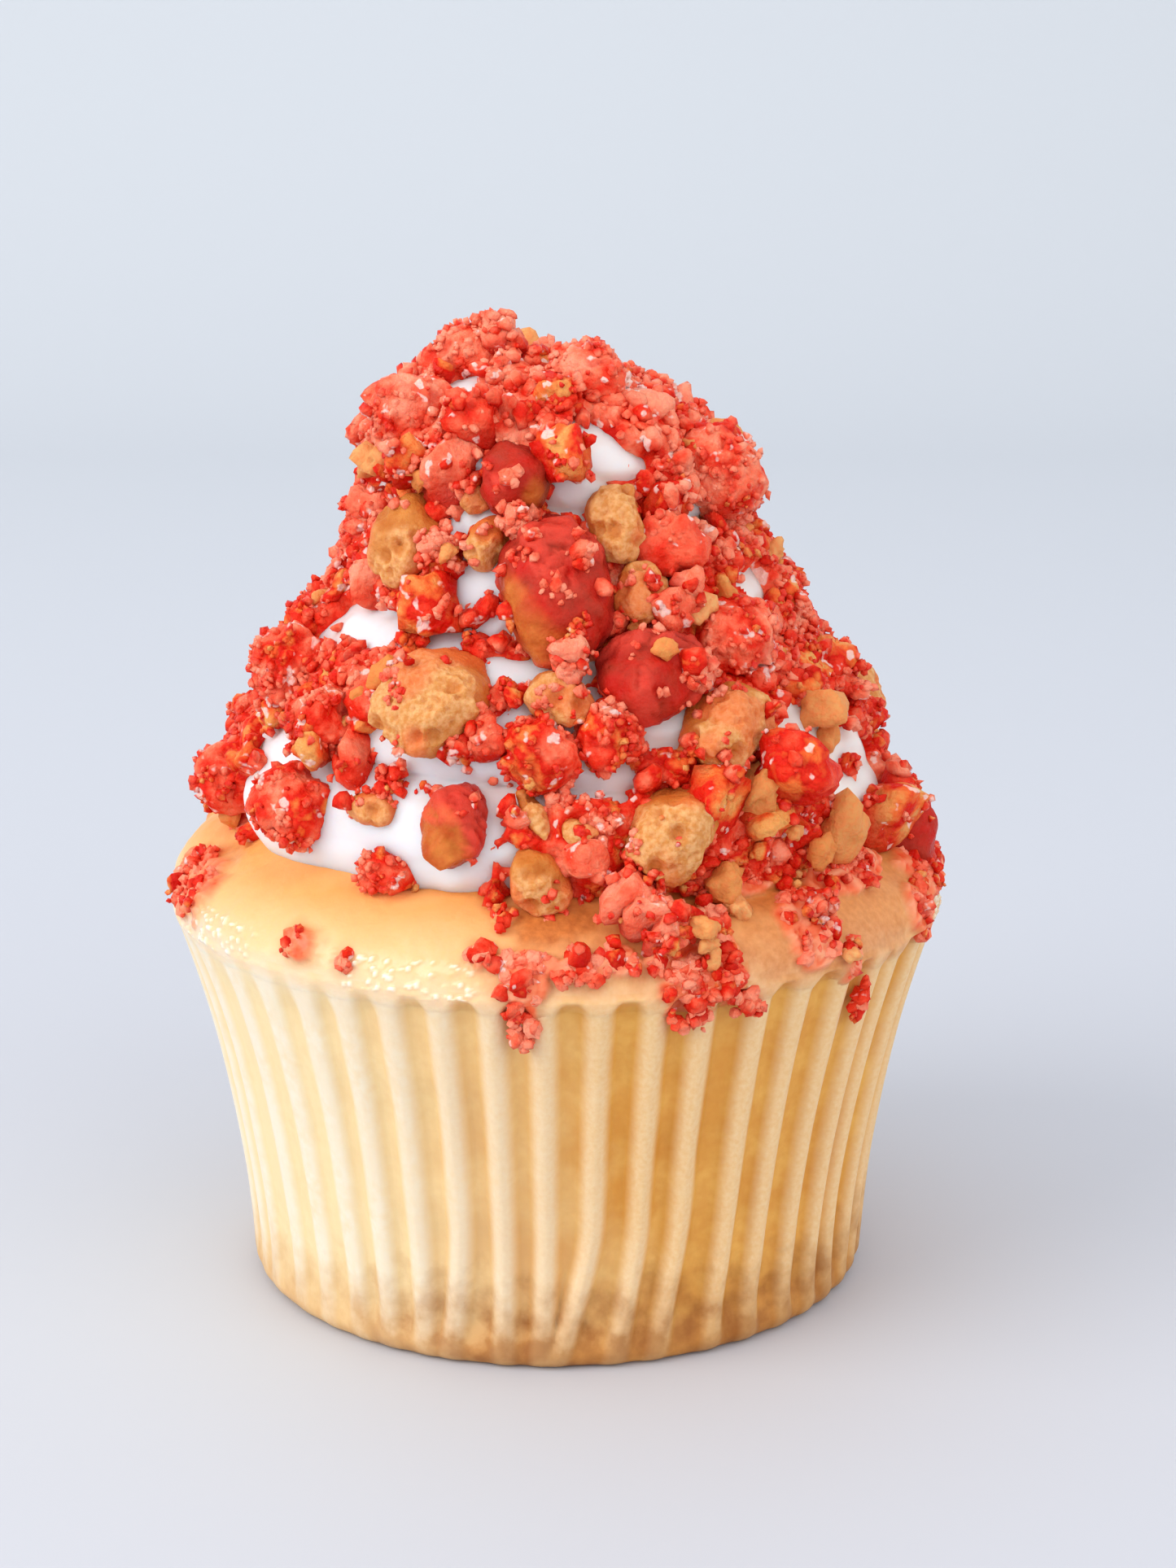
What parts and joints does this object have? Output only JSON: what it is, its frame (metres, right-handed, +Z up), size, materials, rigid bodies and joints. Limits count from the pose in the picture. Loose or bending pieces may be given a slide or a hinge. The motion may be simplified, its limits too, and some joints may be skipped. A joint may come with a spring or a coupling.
{
  "type": "cupcake",
  "caption": "Small round cake in a pleated paper case, topped with a piped swirl of whipped cream under red and golden cookie crunch.",
  "frame": {"origin": "centre of the paper case's flat base, on the surface it stands on", "axes": "+Z up through the swirl's tip, -Y towards the front, +X to the right as seen from the front"},
  "size_m": [0.0628, 0.0631, 0.0758],
  "materials": {
    "paper": "greaseproof baking paper, soaked and half see-through, slight sheen",
    "cake": "baked golden top, soft and slightly moist",
    "cream": "whipped cream, smooth, soft satin",
    "nugget": "red sugared coating, gritty",
    "cookie": "golden baked cookie, porous and dry"
  },
  "bodies": {
    "root": {"paper_case": "paper", "cake": "cake", "frosting": "cream", "nugget_front": "nugget", "nugget_middle": "nugget", "nugget_right": "nugget", "nugget_low": "nugget", "nugget_upper_left": "nugget", "nugget_upper": "nugget", "nugget_upper_right": "nugget", "nugget_crown": "nugget", "nugget_peak": "nugget", "nugget_left": "nugget", "nugget_side": "nugget", "nugget_foot": "nugget", "nugget_fallen": "nugget", "nugget_between": "nugget", "nugget_edge": "nugget", "nugget_rim": "nugget", "nugget_steps": "nugget", "cookie_left": "cookie", "cookie_long": "cookie", "cookie_low": "cookie", "cookie_upper_right": "cookie", "cookie_upper_left": "cookie", "cookie_middle": "cookie", "cookie_seam": "cookie", "cookie_flake": "cookie", "cookie_curl": "cookie", "cookie_foot": "cookie", "cookie_tucked": "cookie", "cookie_sliver": "cookie", "cookie_rim": "cookie", "nugget_back_1": "nugget", "cookie_back_2": "cookie", "nugget_back_3": "nugget", "cookie_back_4": "cookie", "nugget_back_5": "nugget", "cookie_back_6": "cookie", "nugget_back_7": "nugget", "cookie_back_8": "cookie", "nugget_back_9": "nugget", "cookie_back_10": "cookie"}
  },
  "joints": []
}
